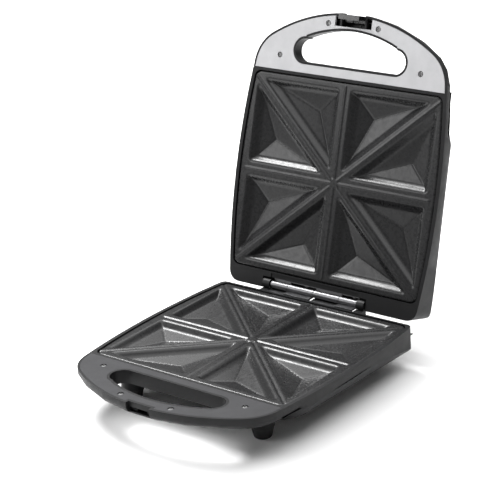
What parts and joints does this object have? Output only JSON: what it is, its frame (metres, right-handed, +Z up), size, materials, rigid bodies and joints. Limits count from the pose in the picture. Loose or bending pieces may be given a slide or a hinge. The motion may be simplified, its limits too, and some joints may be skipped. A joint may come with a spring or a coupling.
{
  "type": "sandwich toaster",
  "caption": "Countertop sandwich toaster with a hinged lid, triangular-pocket non-stick plates, D-shaped handles and a sprung latch, shown open.",
  "frame": {"origin": "on the table under the middle of the cooking plates", "axes": "+Z up, +Y from the handle to the hinge, +X to the right as seen from the handle"},
  "size_m": [0.252, 0.3791, 0.3303],
  "materials": {
    "shell_plastic": "dark moulded plastic with a satin sheen",
    "dark_cover_plastic": "dark grey moulded plastic, satin",
    "light_cover_plastic": "light grey moulded plastic, satin",
    "plate_coating": "cast aluminium with a black non-stick coating, semi-gloss",
    "element_steel": "steel tube, dull",
    "zinc_steel": "zinc-plated steel",
    "hinge_steel": "plated steel, bright",
    "sheet_steel": "plain sheet steel",
    "control_plastic": "heat-proof moulding, matte",
    "sleeve": "woven sleeve, matte",
    "lead_insulation": "silicone insulation, matte",
    "foot_rubber": "black rubber, matte",
    "red_lens": "clear red plastic, polished",
    "green_lens": "clear green plastic, polished",
    "lamp_glass": "clear glass bulb",
    "holder_plastic": "plain moulded plastic",
    "latch_plastic": "black moulded plastic, semi-gloss"
  },
  "bodies": {
    "base": {"base_shell": "shell_plastic", "base_handle": "shell_plastic", "base_handle_cover": "dark_cover_plastic", "base_cover_screws": "zinc_steel", "lower_plate": "plate_coating", "lower_plate_screws": "zinc_steel", "lower_heating_element": "element_steel", "lower_element_straps": "sheet_steel", "lower_strap_screws": "zinc_steel", "lower_reflector": "sheet_steel", "lower_reflector_screws": "zinc_steel", "thermostat": "control_plastic", "thermal_fuse": "sleeve", "terminal_block": "control_plastic", "lower_leads": "lead_insulation", "cord_gland": "foot_rubber", "foot_front_left": "foot_rubber", "foot_front_right": "foot_rubber", "foot_rear_left": "foot_rubber", "foot_rear_right": "foot_rubber", "foot_screws": "zinc_steel", "hinge_leaf_lower": "hinge_steel", "hinge_screws_lower": "zinc_steel", "hinge_pin": "hinge_steel"},
    "lid": {"lid_shell": "shell_plastic", "lid_handle_cover": "light_cover_plastic", "lid_cover_screws": "zinc_steel", "upper_plate": "plate_coating", "upper_plate_screws": "zinc_steel", "upper_heating_element": "element_steel", "upper_element_straps": "sheet_steel", "upper_strap_screws": "zinc_steel", "upper_reflector": "sheet_steel", "upper_reflector_screws": "zinc_steel", "upper_leads": "lead_insulation", "hinge_leaf_upper": "hinge_steel", "hinge_screws_upper": "zinc_steel", "power_lens": "red_lens", "ready_lens": "green_lens", "indicator_lamps": "lamp_glass", "lamp_holder": "holder_plastic", "latch_pin": "zinc_steel", "latch_spring": "zinc_steel"},
    "latch": {"latch": "latch_plastic"}
  },
  "joints": [
    {"name": "lid_hinge", "type": "hinge", "parent": "base", "child": "lid", "pos_m": [0, 0.1173, 0.0495], "axis": [1, 0, 0], "range_deg": [0, 106.5]},
    {"name": "latch_pivot", "type": "hinge", "parent": "lid", "child": "latch", "pos_m": [0, 0.20154, 0.31981], "axis": [-1, 0, 0], "range_deg": [0, 12], "stiffness_Nm_per_rad": 0.05, "springref_deg": -8.59}
  ]
}
